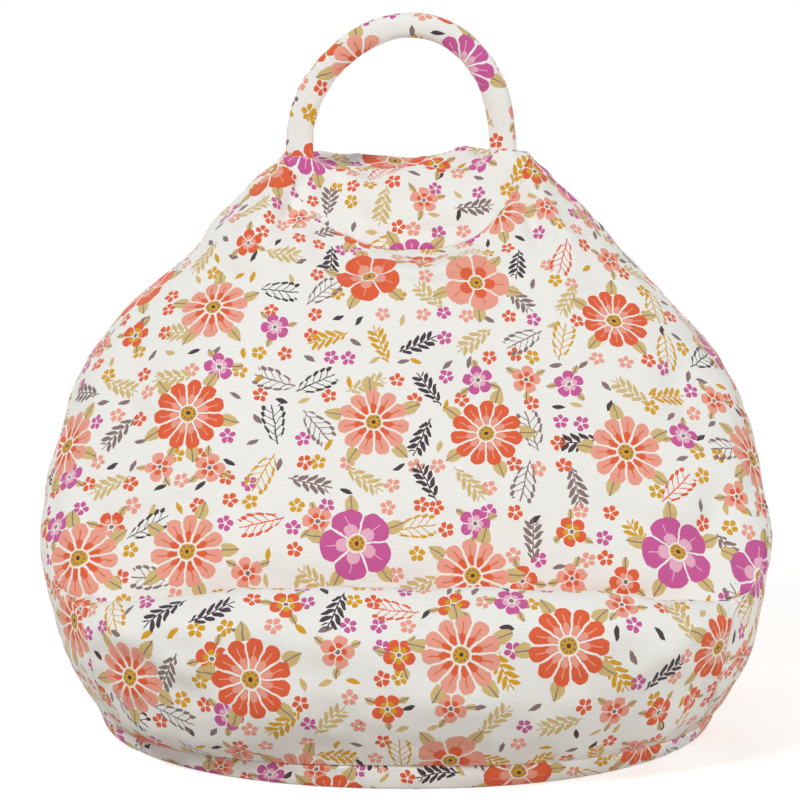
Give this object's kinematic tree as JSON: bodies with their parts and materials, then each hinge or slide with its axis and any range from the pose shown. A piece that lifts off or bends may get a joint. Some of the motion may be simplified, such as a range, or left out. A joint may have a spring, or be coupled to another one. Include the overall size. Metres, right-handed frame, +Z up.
{
  "type": "tablet cushion",
  "caption": "Bead-filled fabric wedge with a padded front roll, a groove that holds a tablet at a slant, and a fabric carry handle.",
  "frame": {"origin": "middle of the base's outline, on the surface the cushion rests on", "axes": "+X to the right seen from the front, +Y to the back, away from the tablet's user, +Z up"},
  "size_m": [0.2696, 0.2239, 0.2624],
  "materials": {
    "printed_cotton": "woven cotton, white ground with a small multicolour floral print",
    "cotton_webbing": "plain woven webbing",
    "lining_cloth": "plain white lining",
    "foam_beads": "expanded polystyrene beads",
    "fibre_wadding": "soft polyester fibre",
    "zip_tape": "cream woven tape",
    "zip_plastic": "cream moulded teeth",
    "zip_metal": "nickel plated"
  },
  "bodies": {
    "cushion": {"base_panel": "printed_cotton", "front_roll_panel": "printed_cotton", "backrest_panel": "printed_cotton", "yoke_panel": "printed_cotton", "back_panel": "printed_cotton", "side_panel_left": "printed_cotton", "side_panel_right": "printed_cotton", "bead_liner": "lining_cloth", "bead_fill": "foam_beads", "ledge_baffle": "lining_cloth", "roll_wadding": "fibre_wadding", "zip_tape_lower": "zip_tape", "zip_tape_upper": "zip_tape", "zip_teeth_lower": "zip_plastic", "zip_teeth_upper": "zip_plastic", "zip_stop_left": "zip_metal", "zip_stop_right": "zip_metal"},
    "handle": {"handle_sleeve": "printed_cotton", "handle_core": "cotton_webbing"},
    "zip_runner": {"zip_slider": "zip_metal"},
    "zip_puller": {"zip_pull": "zip_metal"}
  },
  "joints": [
    {"name": "handle_fold", "type": "hinge", "parent": "cushion", "child": "handle", "pos_m": [0, 0.036, 0.21095], "axis": [1, 0, 0], "range_deg": [-70, 70], "stiffness_Nm_per_rad": 0.05},
    {"name": "zip_slide", "type": "slide", "parent": "cushion", "child": "zip_runner", "axis": [1, 0, 0], "range_m": [0, 0.103]},
    {"name": "zip_pull_swing", "type": "hinge", "parent": "zip_runner", "child": "zip_puller", "pos_m": [-0.0515, 0.1105, 0.031], "axis": [0, 0, 1], "range_deg": [0, 175]}
  ]
}
